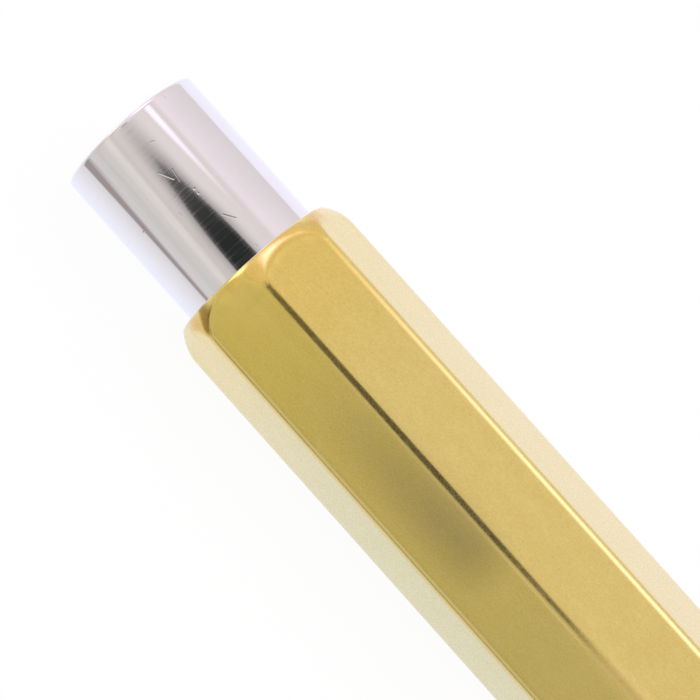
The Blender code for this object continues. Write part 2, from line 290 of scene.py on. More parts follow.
def octagon_radius(angle):
    """Radius of the barrel's section: eight flats, the lowest on the floor, and eight rounded edges."""
    from_flat = abs((angle + EIGHTH / 2) % EIGHTH - EIGHTH / 2)
    if math.tan(from_flat) * apothem <= (apothem - EDGE_RADIUS) * math.tan(EIGHTH / 2):
        return apothem / math.cos(from_flat)
    from_edge = EIGHTH / 2 - from_flat
    centre = (apothem - EDGE_RADIUS) / math.cos(EIGHTH / 2)
    return centre * math.cos(from_edge) + math.sqrt(EDGE_RADIUS ** 2 - (centre * math.sin(from_edge)) ** 2)


def barrel_angles():
    """Angles round the barrel, closer together on its edges."""
    flat_end = math.atan((apothem - EDGE_RADIUS) * math.tan(EIGHTH / 2) / apothem)
    made = []
    for side in range(8):
        middle = side * EIGHTH
        made += steps(middle - flat_end, middle + flat_end, FLAT_STEPS)[:-1]
        made += steps(middle + flat_end, middle + EIGHTH - flat_end, EDGE_STEPS)[:-1]
    return made


barrel_ridge = octagon_radius(EIGHTH / 2)
crown_length = CROWN_RADIUS * math.sin(CROWN_SWEEP)
crown_centre = barrel_ridge - CROWN_RADIUS
rim_reach = math.sqrt((CROWN_RADIUS - RIM_ROUND) ** 2 - (crown_length - RIM_ROUND) ** 2)
rim_end = crown_length - (crown_length - RIM_ROUND) * CROWN_RADIUS / (CROWN_RADIUS - RIM_ROUND)


def turned_radius(station):
    """Radius that the lathe leaves of the barrel: a rim and a crown at the rear, a taper at the nose."""
    if station < rim_end:
        return crown_centre + rim_reach + math.sqrt(RIM_ROUND ** 2 - (RIM_ROUND - station) ** 2)
    if station < crown_length:
        return crown_centre + math.sqrt(CROWN_RADIUS ** 2 - (crown_length - station) ** 2)
    run_out = barrel_ridge + (station - crown_length) ** 2 / (2 * CROWN_RADIUS)
    start = apothem / math.cos(EIGHTH / 2) + RUN_CLEARANCE
    share = (barrel_length - station) / TAPER_LENGTH
    taper = nose_radius + (start - nose_radius) * share
    to_end = max(0.0, NOSE_ROUND - (barrel_length - station))
    taper -= NOSE_ROUND - math.sqrt(NOSE_ROUND ** 2 - to_end ** 2)
    return min(run_out, taper)


def polish_at(angle):
    """How far polishing has softened the crown's edge: less near the ridges, and least at one corner."""
    from_edge = abs(angle % EIGHTH - EIGHTH / 2)
    from_corner = abs(angle - CRISP_CORNER)
    softened = (from_corner / CRISP_REACH - CRISP_START) / (1 - CRISP_START)
    softened = min(1.0, max(CRISP_POLISH, softened))
    return POLISH * softened * min(1.0, from_edge / (EIGHTH / 4))


def make_barrel():
    """Octagonal barrel, crowned at the rear, tapered to a round nose and bored in steps."""
    straight_start = crown_length + CROWN_RADIUS / 2
    taper_start = barrel_length - TAPER_LENGTH
    stations = [rim_end * (1 - math.cos(angle)) for angle in steps(0.0, math.pi / 2, RIM_STEPS)][:-1]
    stations += steps(rim_end, straight_start, CROWN_STEPS)[:-1]
    stations += steps(straight_start, taper_start, STRAIGHT_STEPS)[:-1]
    stations += steps(taper_start, barrel_length - NOSE_ROUND, TAPER_STEPS)[:-1]
    stations += [barrel_length - NOSE_ROUND * (1 - share) for share in steps(0.0, 1.0, ROUND_STEPS)]
    outline = []
    for station in stations:
        lathe = turned_radius(station)

        def section(angle, lathe=lathe):
            bar = octagon_radius(angle)
            return (bar + lathe - math.sqrt((bar - lathe) ** 2 + polish_at(angle) ** 2)) / 2

        outline.append((station, section))
    shoulder, guide_front = span("guide_bush")
    guide_bore = guide_outer + FIT_CLEARANCE
    guide_seat = guide_front + FACE_GAP
    collet_bore = collet_outer + COLLET_ROOM
    ferrule_seat = ferrule_rear - FACE_GAP
    nose_bore = ferrule_shank + FIT_CLEARANCE
    outline += [(barrel_length, nose_bore), (ferrule_seat, nose_bore), (ferrule_seat, collet_bore),
                (guide_seat, collet_bore), (guide_seat, guide_bore), (shoulder, guide_bore),
                (shoulder, rear_bore), (BORE_CHAMFER, rear_bore), (0.0, rear_bore + BORE_CHAMFER)]
    return loft("barrel_skin", outline, barrel_angles())


def make_button_shell():
    """Drawn cup, closed at the rear."""
    shell_inner = bush_outer + FIT_CLEARANCE
    return turned("button_shell_skin", [
        (shell_rear, 0.0, 0.0), (shell_rear, button_radius, BUTTON_EDGE_ROUND),
        (shell_front, button_radius, SOFT_EDGE), (shell_front, shell_inner, SOFT_EDGE),
        (shell_rear + SHELL_END, shell_inner, SOFT_EDGE), (shell_rear + SHELL_END, 0.0, 0.0)])


def thread_wave(station, angle):
    """Depth of a screw thread as a share, 0 on its crests and 1 in its grooves."""
    turn = (station / THREAD_PITCH - angle / (2 * math.pi)) % 1.0
    return min(1.0, max(0.0, THREAD_SLOPE * (0.5 - abs(turn - 0.5))))


def threaded(first, last, radius, depth):
    """Rings of a threaded stretch, which runs out to a plain radius at both ends."""
    made = []
    for station in steps(first, last, round(abs(last - first) / THREAD_PITCH * THREAD_STEPS)):
        near_end = min(abs(station - first), abs(station - last)) / THREAD_PITCH

        def section(angle, station=station, fade=min(1.0, near_end)):
            return radius + depth * fade * thread_wave(station, angle)

        made.append((station, section))
    return made


def make_thread_bush():
    """Ring in the button, threaded inside."""
    rear, front = span("thread_bush")
    outside = rounded([(rear, bush_outer, SOFT_EDGE), (front, bush_outer, SOFT_EDGE),
                       (front, bush_inner, 0.0), (rear, bush_inner, 0.0)])[:-2]
    inside = threaded(front, rear, bush_inner, THREAD_DEPTH)
    return loft("thread_bush_skin", outside + inside, even_angles(TURN_STEPS))


def make_lead_tube():
    """Thin tube, threaded outside at its rear end."""
    rear, front = span("lead_tube")
    outside = threaded(rear, rear + THREAD_LENGTH, tube_outer, -THREAD_DEPTH)
    outside += [(front, tube_outer), (front, tube_inner), (rear, tube_inner)]
    return loft("lead_tube_skin", outside, even_angles(TURN_STEPS))


def make_sharpener():
    """Steel insert with a conical hole, cut into ridges by flutes."""
    rear, front = span("sharpener_insert")
    mouth = lead_radius + SHARPENER_MOUTH_CLEARANCE
    depth = mouth / math.tan(LEAD_POINT_ANGLE)
    outline = rounded([(rear, 0.0, 0.0), (rear, bush_outer, SOFT_EDGE), (front, bush_outer, SOFT_EDGE),
                       (front, mouth, 0.0)])[:-1]
    for share in steps(1.0, 0.0, FLUTE_STEPS)[:-1]:

        def section(angle, share=share):
            tooth = angle * SHARPENER_FLUTES / (2 * math.pi) % 1.0
            rise = min(tooth / SHARPENER_FLUTE_RISE, (1.0 - tooth) / (1.0 - SHARPENER_FLUTE_RISE))
            return share * (mouth - SHARPENER_FLUTE_DEPTH * rise)

        outline.append((front - depth * (1 - share), section))
    outline.append((front - depth, 0.0))
    return loft("sharpener_skin", outline, even_angles(TURN_STEPS))


def make_collet_shank():
    """Ring on the front end of the lead tube, from which the jaws spring."""
    rear, front = span("collet_shank")
    socket = tube_outer + FIT_CLEARANCE
    floor = front - COLLET_RING_LENGTH
    return turned("collet_shank_skin", [
        (rear, socket, SOFT_EDGE), (rear, collet_outer, 2 * SOFT_EDGE), (front, collet_outer, SOFT_EDGE),
        (front, tube_inner, SOFT_EDGE), (floor, tube_inner, 0.0), (floor, socket, 0.0)])


def make_nose_ferrule():
    """Tapered nose, with the seat that closes the jaws and the shank that is screwed into the barrel."""
    seat_rear = ferrule_front - SEAT_LENGTH
    collar = barrel_length + FACE_GAP
    return turned("nose_ferrule_skin", [
        (ferrule_rear, ferrule_bore, SOFT_EDGE), (ferrule_rear, ferrule_shank, SOFT_EDGE),
        (collar, ferrule_shank, 0.0), (collar, nose_radius, NOSE_ROUND),
        (ferrule_front, seat_mouth + FERRULE_MOUTH_WALL, 2 * NOSE_ROUND),
        (ferrule_front, seat_mouth, SOFT_EDGE), (seat_rear, ferrule_bore, SOFT_EDGE)])


def make_lead():
    """Round lead with a sharpened point."""
    rear, front = span("lead")
    point = (lead_radius - LEAD_TIP_RADIUS) / math.tan(LEAD_POINT_ANGLE)
    return turned("lead_skin", [
        (rear, 0.0, 0.0), (rear, lead_radius, 2 * SOFT_EDGE), (front - point, lead_radius, SOFT_EDGE),
        (front, LEAD_TIP_RADIUS, LEAD_TIP_RADIUS), (front, 0.0, 0.0)])


def jaw_sections():
    """Station, inner radius and outer radius of a jaw, from its root to its lip."""
    rear, front = span("collet_jaw_1")
    slope = math.tan(JAW_CONE_ANGLE)
    arm_outer = tube_inner + JAW_ARM
    cone_at_mouth = seat_mouth - FIT_CLEARANCE
    cone_start = ferrule_front - (cone_at_mouth - arm_outer) / slope
    lip = ferrule_front + FACE_GAP
    lip_radius = cone_at_mouth + FACE_GAP * slope
    grip = lead_radius + JAW_GRIP_CLEARANCE
    face_radius = grip + JAW_FACE_WIDTH
    grip_start = front - JAW_GRIP_LENGTH

    def outer(station):
        if station <= cone_start:
            return arm_outer
        if station <= lip:
            return arm_outer + (station - cone_start) * slope
        share = min(1.0, (station - lip) / (front - lip))
        return face_radius + (lip_radius - face_radius) * math.sqrt(1 - share ** 2)

    # No two sections share a station, because that would leave faces without area on the outside
    step_start = grip_start - GRIP_STEP
    made = [(station, tube_inner, outer(station)) for station in (rear, cone_start, step_start)]
    for index in range(GRIP_GROOVES):
        for share, depth in GRIP_GROOVE_SHAPE:
            station = grip_start + JAW_GRIP_LENGTH * (index + share) / GRIP_GROOVES
            made.append((station, grip + depth * GRIP_GROOVE_DEPTH, outer(station)))
    made += [(station, grip, outer(station)) for station in steps(front - LIP_LENGTH, front, LIP_STEPS)]
    return sorted(made)


def make_jaw(number):
    """One jaw of the collet: a sector with a thin arm, a cone and a rounded lip."""
    middle = math.pi / 2 + 2 * math.pi * (number - 1) / JAW_COUNT
    sweep = 2 * math.pi / JAW_COUNT - JAW_SLOT / (tube_inner + JAW_ARM)
    angles = steps(middle - sweep / 2, middle + sweep / 2, JAW_STEPS)
    verts = []
    rings = []
    for station, inner, outer in jaw_sections():
        points = [place(station, outer, angle) for angle in angles]
        points += [place(station, inner, angle) for angle in reversed(angles)]
        rings.append(list(range(len(verts), len(verts) + len(points))))
        verts += points
    faces = []
    for first, second in zip(rings, rings[1:]):
        faces += bridge(first, second)
    for end in (rings[0], rings[-1]):
        for index in range(JAW_STEPS):
            faces.append((end[index], end[index + 1], end[-2 - index], end[-1 - index]))
    return add_object(f"collet_jaw_{number}_skin", verts, faces)


def make_spring():
    """Compression spring of round wire with closed ends."""
    rear, front = span("return_spring")
    mean_radius = (tube_outer + rear_bore) / 2
    count = SPRING_CURLS * CURL_STEPS

    def openness(curl):
        to_end = min(curl, SPRING_CURLS - curl)
        share = min(1.0, max(0.0, to_end - SPRING_CLOSED_CURLS + SPRING_EASE))
        return share * share * (3 - 2 * share)

    opened = [0.0]
    for index in range(count):
        opened.append(opened[-1] + openness((index + 0.5) / CURL_STEPS) / CURL_STEPS)
    open_pitch = (front - rear - SPRING_WIRE - SPRING_CLOSED_PITCH * SPRING_CURLS) / opened[-1]
    line = []
    for index in range(count + 1):
        curl = index / CURL_STEPS
        station = rear + SPRING_WIRE / 2 + SPRING_CLOSED_PITCH * curl + open_pitch * opened[index]
        line.append(Vector(place(station, mean_radius, 2 * math.pi * curl)))
    verts = []
    rings = []
    for index, point in enumerate(line):
        along = (line[min(index + 1, count)] - line[max(index - 1, 0)]).normalized()
        outward = (point - Vector((point.x, 0.0, axis_height))).normalized()
        side = along.cross(outward).normalized()
        outward = side.cross(along)
        rings.append(list(range(len(verts), len(verts) + WIRE_STEPS)))
        for angle in even_angles(WIRE_STEPS):
            verts.append(point + (outward * math.cos(angle) + side * math.sin(angle)) * SPRING_WIRE / 2)
    faces = [tuple(rings[0]), tuple(reversed(rings[-1]))]
    for first, second in zip(rings, rings[1:]):
        faces += bridge(first, second)
    return add_object("return_spring_skin", verts, faces)


# Colours of the materials, with both ends of the range where a noise runs between two
BRASS = ((0.765, 0.572, 0.122), (0.875, 0.682, 0.194))
PAINTED_SHEEN_PALE = (0.98, 0.95, 0.92)
HANDLED_BRASS = (0.995, 1.035, 1.33)
CROWN_PAINTED_GOLD = (0.90, 0.68, 0.30)
REFLECTION_BROWN = (0.46, 0.36, 0.12)
PAINTED_SHADE_GREY = (0.64, 0.645, 0.80)
CHROME = ((0.86, 0.84, 0.905), (0.88, 0.86, 0.925))
CHROME_PIT_AND_SHADE = (0.30, 0.28, 0.28)
CHROME_RUB = (0.66, 0.60, 0.56)
STEEL = (0.60, 0.59, 0.58)
SPRING_STEEL = (0.50, 0.50, 0.51)
HARD_STEEL = (0.44, 0.43, 0.42)
ACETAL = ((0.70, 0.68, 0.62), (0.76, 0.75, 0.71))
GRAPHITE = ((0.028, 0.028, 0.030), (0.085, 0.085, 0.090))
WHITE = (1.0, 1.0, 1.0)

# Relief of the materials in mm
BRASS_RELIEF = 0.0007
HAIRLINE_DEPTH = 0.00022
STEEL_RELIEF = 0.004
ACETAL_RELIEF = 0.01
GRAPHITE_RELIEF = 0.02

# Marks on the button: two ends (station in mm, angle in degrees), half width and depth in mm. The painted
# shade of a mark lies a little to one side of it
BUTTON_MARKS = [
    ((-7.32, 117.2), (-6.46, 112.1), 0.055, 0.009),
    ((-6.95, 108.1), (-6.17, 109.9), 0.04, 0.004),
    ((-5.26, 105.8), (-5.24, 105.8), 0.085, 0.016),
    ((-4.92, 105.8), (-4.90, 105.8), 0.075, 0.014),
    ((-3.03, 102.8), (-2.40, 97.6), 0.055, 0.008),
    ((-8.92, 107.0), (-8.86, 104.5), 0.04, 0.006),
    ((-5.56, 157.4), (-5.50, 155.6), 0.05, 0.010),
    ((-4.58, 83.7), (-4.56, 83.7), 0.05, 0.006),
]
SHADE_ALONG = 0.03
SHADE_ROUND = 0.4
SHADE_STRENGTH = 0.9


class Nodes:
    """Short calls that build a node tree. Any input takes a number, a colour or another node's output."""

    def __init__(self, tree):
        self.tree = tree
        tree.nodes.clear()

    def feed(self, socket, value):
        if isinstance(value, bpy.types.NodeSocket):
            self.tree.links.new(value, socket)
        else:
            socket.default_value = value

    def add(self, kind, inputs=None, **settings):
        node = self.tree.nodes.new(kind)
        for name, value in settings.items():
            setattr(node, name, value)
        for name, value in (inputs or {}).items():
            self.feed(node.inputs[name], value)
        return node

    def math(self, operation, *values):
        node = self.add("ShaderNodeMath", operation=operation)
        for socket, value in zip(node.inputs, values):
            self.feed(socket, value)
        return node.outputs[0]

    def product(self, first, *others):
        made = first
        for value in others:
            made = self.math("MULTIPLY", made, value)
        return made

    def total(self, *pairs):
        """Sum of values, each times its weight."""
        made = 0.0
        for value, weight in pairs:
            made = self.math("MULTIPLY_ADD", value, weight, made)
        return made

    def length(self, first, second):
        """Length of a line with two parts square to each other."""
        squares = self.math("MULTIPLY_ADD", second, second, self.product(first, first))
        return self.math("SQRT", squares)

    def dot(self, vector, direction):
        node = self.add("ShaderNodeVectorMath", {0: vector, 1: direction}, operation="DOT_PRODUCT")
        return node.outputs["Value"]

    def stretch(self, vector, scale):
        """A vector multiplied along each axis."""
        return self.add("ShaderNodeVectorMath", {0: vector, 1: scale}, operation="MULTIPLY").outputs[0]

    def noise(self, vector, detail, roughness):
        inputs = {"Vector": vector, "Scale": 1.0, "Detail": detail, "Roughness": roughness}
        return self.add("ShaderNodeTexNoise", inputs).outputs["Fac"]

    def fade(self, value, low, high, start=0.0, end=1.0):
        """A smooth step from start to end as the value goes from low to high."""
        inputs = {"Value": value, "From Min": low, "From Max": high, "To Min": start, "To Max": end}
        node = self.add("ShaderNodeMapRange", inputs, interpolation_type="SMOOTHSTEP")
        return node.outputs["Result"]

    def bell(self, value, middle, width):
        """1 where the value is at the middle, falling smoothly to 0 at the width from it."""
        away = self.math("ABSOLUTE", self.math("SUBTRACT", value, middle))
        return self.fade(away, 0.0, width, 1.0, 0.0)

    def ramp(self, share, stops):
        """A colour that follows (share, colour) stops."""
        node = self.add("ShaderNodeValToRGB", {"Fac": share})
        elements = node.color_ramp.elements
        elements[0].position = stops[0][0]
        elements[1].position = stops[-1][0]
        for position, _ in stops[1:-1]:
            elements.new(position)
        for element, (_, colour) in zip(elements, stops):
            element.color = (*colour, 1.0)
        return node.outputs["Color"]

    def bands(self, value, limits, stops):
        """A colour that follows (value, colour) stops between two limits."""
        low, high = limits
        share = self.math("DIVIDE", self.math("SUBTRACT", value, low), high - low)
        return self.ramp(share, [((stop - low) / (high - low), colour) for stop, colour in stops])

    def mix(self, factor, colour, other, blend="MIX"):
        """A colour turned into another one by a factor."""
        node = self.add("ShaderNodeMix", data_type="RGBA", blend_type=blend)
        for name, value in (("Factor_Float", factor), ("A_Color", colour), ("B_Color", (*other, 1.0))):
            socket = next(item for item in node.inputs if item.identifier == name)
            self.feed(socket, value)
        return next(item for item in node.outputs if item.identifier == "Result_Color")

    def tint(self, factor, colour, other):
        """A colour multiplied by another one, by a factor."""
        return self.mix(factor, colour, other, "MULTIPLY")


class Look(Nodes):
    """A Principled material, with coordinates in millimetres that move with the piece."""

    def __init__(self, name):
        self.material = bpy.data.materials.new(name)
        self.material.use_nodes = True
        super().__init__(self.material.node_tree)
        output = self.add("ShaderNodeOutputMaterial")
        self.shader = self.add("ShaderNodeBsdfPrincipled")
        self.tree.links.new(self.shader.outputs[0], output.inputs["Surface"])
        place_of = self.add("ShaderNodeTexCoord").outputs["Object"]
        self.point = self.stretch(place_of, (1 / MM, 1 / MM, 1 / MM))
        parts = self.add("ShaderNodeSeparateXYZ", {0: self.point}).outputs
        height = self.math("SUBTRACT", parts["Z"], axis_height / MM)
        self.along = self.math("SUBTRACT", parts["X"], barrel_rear / MM)
        self.angle = self.math("ARCTAN2", height, parts["Y"])
        self.radius = self.length(parts["Y"], height)

    def set(self, **inputs):
        for name, value in inputs.items():
            self.feed(self.shader.inputs[name.replace("_", " ")], value)

    def bump(self, height, distance):
        """Give the surface relief, with the distance in millimetres for a height of 1."""
        inputs = {"Height": height, "Distance": distance * MM, "Strength": 1.0}
        self.set(Normal=self.add("ShaderNodeBump", inputs).outputs["Normal"])

    def offset(self, direction):
        """Distance from the axis in a direction square to it."""
        return self.math("SUBTRACT", self.dot(self.point, direction), direction.z * axis_height / MM)

    def cloud(self, scale, detail, roughness):
        """Noise with its own scale along each axis."""
        return self.noise(self.stretch(self.point, scale), detail, roughness)

    def rings(self, per_mm, round_scale):
        """Noise in fine lines round the axis, on the sides of a piece and on its ends."""
        inward = self.math("SUBTRACT", button_radius / MM, self.radius)
        vector = self.add("ShaderNodeCombineXYZ", {
            "X": self.product(self.math("ADD", self.along, inward), per_mm),
            "Y": self.product(self.math("SINE", self.angle), round_scale),
            "Z": self.product(self.math("COSINE", self.angle), round_scale)}).outputs[0]
        return self.noise(vector, 4.0, 0.6)

    def specks(self, scale, channel, size, rarity, strength):
        """Dots in a few of the cells that fill the surface, chosen by a channel of the cells' colours."""
        cells = self.add("ShaderNodeTexVoronoi", {"Vector": self.stretch(self.point, scale), "Scale": 1.0})
        chosen = self.add("ShaderNodeSeparateColor", {0: cells.outputs["Color"]}).outputs[channel]
        return self.product(self.fade(cells.outputs["Distance"], 0.03, size, 1.0, 0.0),
                            self.fade(chosen, rarity, 0.9, 0.0, strength))


def brass_look(name, turned_lines):
    """Polished brass under a thin lacquer, satin from fine grain along it or from turning lines."""
    look = Look(name)
    mottle = look.cloud((0.5, 1.1, 1.1), 5.0, 0.6)
    speckle = look.cloud((5.0, 7.0, 7.0), 2.0, 0.6)
    grit = look.cloud((10.0, 9.0, 9.0), 1.0, 0.5)
    grain = look.rings(14.0, 2.0) if turned_lines else look.cloud((2.5, 11.0, 11.0), 3.0, 0.55)
    shade = look.total((mottle, 0.24), (speckle, 0.14), (grain, 0.24), (grit, 0.38))
    colour = look.ramp(shade, [(0.34, BRASS[0]), (0.66, BRASS[1])])
    roughness = look.fade(shade, 0.3, 0.7, 0.14, 0.22)
    # A painted sheen pales the colour where the metal is seen at a slant, and the lacquer hides less of it
    # at a glance along it
    slant = look.add("ShaderNodeLayerWeight", {"Blend": 0.5}).outputs["Facing"]
    lacquer = look.fade(slant, 0.66, 0.86, 1.0, 0.25)
    if not turned_lines:
        across = look.offset(ACROSS)
        # A painted dark reflection browns one corner of the crown, and the lacquer is left off there
        stain_and_dark_reflection = corner_dark_reflection(look, across)
        colour = handling_film_and_painted_light(look, colour, mottle, across, stain_and_dark_reflection)
        lacquer = look.product(lacquer, look.math("SUBTRACT", 1.0, stain_and_dark_reflection))
        # One edge is dull from handling, away from the crown
        dull = look.product(look.bell(across, 0.0, 1.0), look.fade(look.along, 26.8, 31.2))
        roughness = look.math("MULTIPLY_ADD", dull, 0.28, roughness)
    # Painted sheen: paler specks mixed into the colour, growing towards a slant and gone at a glance along
    # it
    painted_sheen = look.product(look.math("POWER", slant, 2.5), look.fade(grit, 0.3, 0.7, 0.0, 0.6),
                        look.fade(slant, 0.66, 0.80, 1.0, 0.0))
    look.set(Base_Color=look.mix(painted_sheen, colour, PAINTED_SHEEN_PALE), Metallic=1.0, Roughness=roughness,
             Coat_Weight=lacquer, Coat_Roughness=0.12, Coat_IOR=1.5, Sheen_Weight=1.0, Sheen_Roughness=0.3)
    look.bump(look.total((grain, 0.5), (speckle, 0.5)), BRASS_RELIEF)
    return look.material


def corner_dark_reflection(look, across):
    """1 on one corner of the crown, where the lathe has cut below one flat, and 0 elsewhere: the place of a
    painted dark reflection.
    """
    cut = look.math("SUBTRACT", apothem / MM, look.offset(CORNER_FLAT))
    lower_edge = look.math("MULTIPLY_ADD", look.along, 0.45, across)
    return look.product(look.fade(cut, 0.045, 0.075), look.fade(lower_edge, -4.05, -3.80),
                        look.fade(look.along, 1.3, 1.8, 1.0, 0.0), look.fade(across, -4.55, -4.35),
                        look.fade(across, -3.7, -3.0, 1.0, 0.0))


def handling_film_and_painted_light(look, colour, mottle, across, stain_and_dark_reflection):
    """A film of handling on the barrel makes it paler away from the crown, and a soft painted shade darkens
    one flat.

    The crown is painted a deeper gold on both flanks, a painted reflection, and a dark brown at one corner,
    a painted dark reflection.
    """
    colour = look.tint(look.fade(look.along, 1.0, 11.0), colour, HANDLED_BRASS)
    # Painted reflection: the crown is painted a deeper gold on both flanks, near the rear face
    painted_gold = look.product(look.bell(look.math("ABSOLUTE", across), 4.65, 0.7),
                         look.fade(look.along, 0.4, 1.4, 1.0, 0.0))
    colour = look.tint(painted_gold, colour, CROWN_PAINTED_GOLD)
    # Painted dark reflection: one corner of the crown is painted brown
    colour = look.tint(stain_and_dark_reflection, colour, REFLECTION_BROWN)
    # Painted shade: a soft darker patch on one flat, mottled
    painted_shade = look.product(look.fade(look.along, 5.0, 20.0), look.fade(look.along, 20.4, 23.8, 1.0, 0.0),
                         look.bell(across, -1.6, 2.8), look.fade(mottle, 0.25, 0.65, 0.75, 1.0))
    return look.tint(painted_shade, colour, PAINTED_SHADE_GREY)


def chrome_look(name, marks=()):
    """Polished chrome plate over a turned piece, with hairlines round it and a few marks of use, each with
    a painted shade beside it.
    """
    look = Look(name)
    relief = look.product(look.rings(10.0, 1.2), HAIRLINE_DEPTH)
    pits_and_shade = look.specks((1.3, 1.3, 1.3), 0, 0.09, 0.6, 0.35)
    for start, end, width, depth in marks:
        relief = look.math("SUBTRACT", relief, scratch(look, start, end, width, depth))
        # Painted shade: each mark is darkened a little to one side of it
        ends = [(station - SHADE_ALONG, angle - SHADE_ROUND) for station, angle in (start, end)]
        pits_and_shade = look.math("MAXIMUM", pits_and_shade, scratch(look, *ends, width, SHADE_STRENGTH))
    scuffs = look.cloud((0.8, 0.8, 0.8), 4.0, 0.6)
    colour = look.ramp(scuffs, [(0.3, CHROME[0]), (0.7, CHROME[1])])
    colour = look.mix(pits_and_shade, colour, CHROME_PIT_AND_SHADE)
    # Faint short rubs along it
    colour = look.mix(look.specks((0.5, 1.5, 1.5), 1, 0.10, 0.35, 0.5), colour, CHROME_RUB)
    worn = look.fade(look.along, shell_rear / MM + 0.15, shell_rear / MM + 0.32, 0.20, 0.0)
    roughness = look.math("ADD", look.fade(look.rings(20.0, 1.0), 0.40, 0.68, 0.015, 0.08), worn)
    look.set(Base_Color=colour, Metallic=1.0, Roughness=roughness)
    look.bump(relief, 1.0)
    return look.material


def scratch(look, start, end, width, depth):
    """Depth of a straight scratch on the button between two points (station in mm, angle in degrees), also
    used for its painted shade.
    """
    radius = button_radius / MM
    line = Vector((end[0] - start[0], radius * math.radians(end[1] - start[1])))
    from_start = look.math("SUBTRACT", look.along, start[0])
    round_it = look.product(look.math("SUBTRACT", look.angle, math.radians(start[1])), radius)
    reach = look.total((from_start, line.x / line.length_squared), (round_it, line.y / line.length_squared))
    reach = look.math("MINIMUM", look.math("MAXIMUM", reach, 0.0), 1.0)
    aside = look.math("SUBTRACT", from_start, look.product(reach, line.x))
    beside = look.math("SUBTRACT", round_it, look.product(reach, line.y))
    return look.fade(look.length(aside, beside), 0.0, width, depth, 0.0)


def steel_look(name, colour=STEEL):
    """Turned steel."""
    look = Look(name)
    lines = look.rings(12.0, 1.5)
    stain_and_dark_reflection = look.cloud((0.6, 0.6, 0.6), 4.0, 0.6)
    darker = tuple(0.8 * part for part in colour)
    look.set(Base_Color=look.ramp(stain_and_dark_reflection, [(0.3, darker), (0.65, colour)]), Metallic=1.0,
             Roughness=look.fade(lines, 0.3, 0.7, 0.22, 0.38))
    look.bump(lines, STEEL_RELIEF)
    return look.material


def acetal_look(name):
    """Natural plastic, turned."""
    look = Look(name)
    lines = look.rings(6.0, 1.0)
    haze = look.cloud((0.4, 0.4, 0.4), 3.0, 0.5)
    look.set(Base_Color=look.ramp(haze, [(0.3, ACETAL[0]), (0.7, ACETAL[1])]),
             Roughness=look.fade(lines, 0.3, 0.7, 0.35, 0.5), Subsurface_Weight=0.1)
    look.bump(lines, ACETAL_RELIEF)
    return look.material


def graphite_look(name):
    """Fired graphite: dark grey, with a dull metal sheen and fine grit."""
    look = Look(name)
    shade = look.total((look.cloud((9.0, 9.0, 9.0), 4.0, 0.65), 0.6), (look.rings(8.0, 1.5), 0.4))
    look.set(Base_Color=look.ramp(shade, [(0.3, GRAPHITE[0]), (0.7, GRAPHITE[1])]),
             Metallic=0.35, Roughness=look.fade(shade, 0.3, 0.7, 0.36, 0.55))
    look.bump(shade, GRAPHITE_RELIEF)
    return look.material


def dress(obj, look, body, node):
    """Give a skin its look, and let it stand for its solid."""
    obj.data.materials.append(look)
    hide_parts(node)
    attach(obj, body)


def make_pencil():
    """Skins for all the solids. The spring's skin has a mesh of its own."""
    bodies = frame["record"]["behaviour"]["bodies"]
    body_of = {node: body for body, nodes in bodies.items() for node in nodes}
    chrome = chrome_look("chrome_plate")
    steel = steel_look("turned_steel")
    turned_brass = brass_look("turned_brass", True)
    pieces = {
        "barrel": (make_barrel(), brass_look("barrel_brass", False)),
        "nose_ferrule": (make_nose_ferrule(), chrome),
        "guide_bush": (ring("guide_bush_skin", "guide_bush"), acetal_look("natural_acetal")),
        "spring_washer": (ring("spring_washer_skin", "spring_washer"), steel),
        "return_spring": (make_spring(), steel_look("spring_wire", SPRING_STEEL)),
        "lead_tube": (make_lead_tube(), turned_brass),
        "spring_collar": (ring("spring_collar_skin", "spring_collar"), steel),
        "collet_shank": (make_collet_shank(), steel),
        "lead": (make_lead(), graphite_look("graphite")),
        "button_shell": (make_button_shell(), chrome_look("button_chrome", BUTTON_MARKS)),
        "thread_bush": (make_thread_bush(), turned_brass),
        "sharpener_insert": (make_sharpener(), steel_look("hardened_steel", HARD_STEEL)),
    }
    for number in range(1, JAW_COUNT + 1):
        pieces[f"collet_jaw_{number}"] = (make_jaw(number), steel)
    for node, (obj, look) in pieces.items():
        dress(obj, look, body_of[node], node)
    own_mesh(pieces["return_spring"][0])


# The camera looks down on an edge of the barrel, square to the axis near the barrel's rear end
CAMERA_DISTANCE = 165.0 * MM
CAMERA_STATION = 16.4 * MM
CAMERA_NEAR = 5.0 * MM
AIM_STATION = 7.37 * MM
AIM_ACROSS = 1.07 * MM
AXIS_SLANT = math.radians(48.15)
VIEW_WIDTH = 41.2 * MM
SENSOR_WIDTH = 36.0


def make_camera():
    """A camera aimed beside its own station, turned so that the axis lies aslant in the picture."""
    eye = Vector(place(CAMERA_STATION, 0.0, 0.0)) + CAMERA_SIDE * CAMERA_DISTANCE
    aim = Vector(place(AIM_STATION, 0.0, 0.0)) + ACROSS * AIM_ACROSS
    back = (eye - aim).normalized()
    along = (Vector((1.0, 0.0, 0.0)) - back * back.x).normalized()
    across = back.cross(along)
    right = along * math.cos(AXIS_SLANT) + across * math.sin(AXIS_SLANT)
    up = across * math.cos(AXIS_SLANT) - along * math.sin(AXIS_SLANT)
    data = bpy.data.cameras.new("camera")
    data.sensor_width = SENSOR_WIDTH
    data.lens = SENSOR_WIDTH * (eye - aim).length / VIEW_WIDTH
    data.clip_start = CAMERA_NEAR
    camera = bpy.data.objects.new("camera", data)
    camera.matrix_world = Matrix.Translation(eye) @ Matrix((right, up, back)).transposed().to_4x4()
    bpy.context.scene.collection.objects.link(camera)
    bpy.context.scene.camera = camera


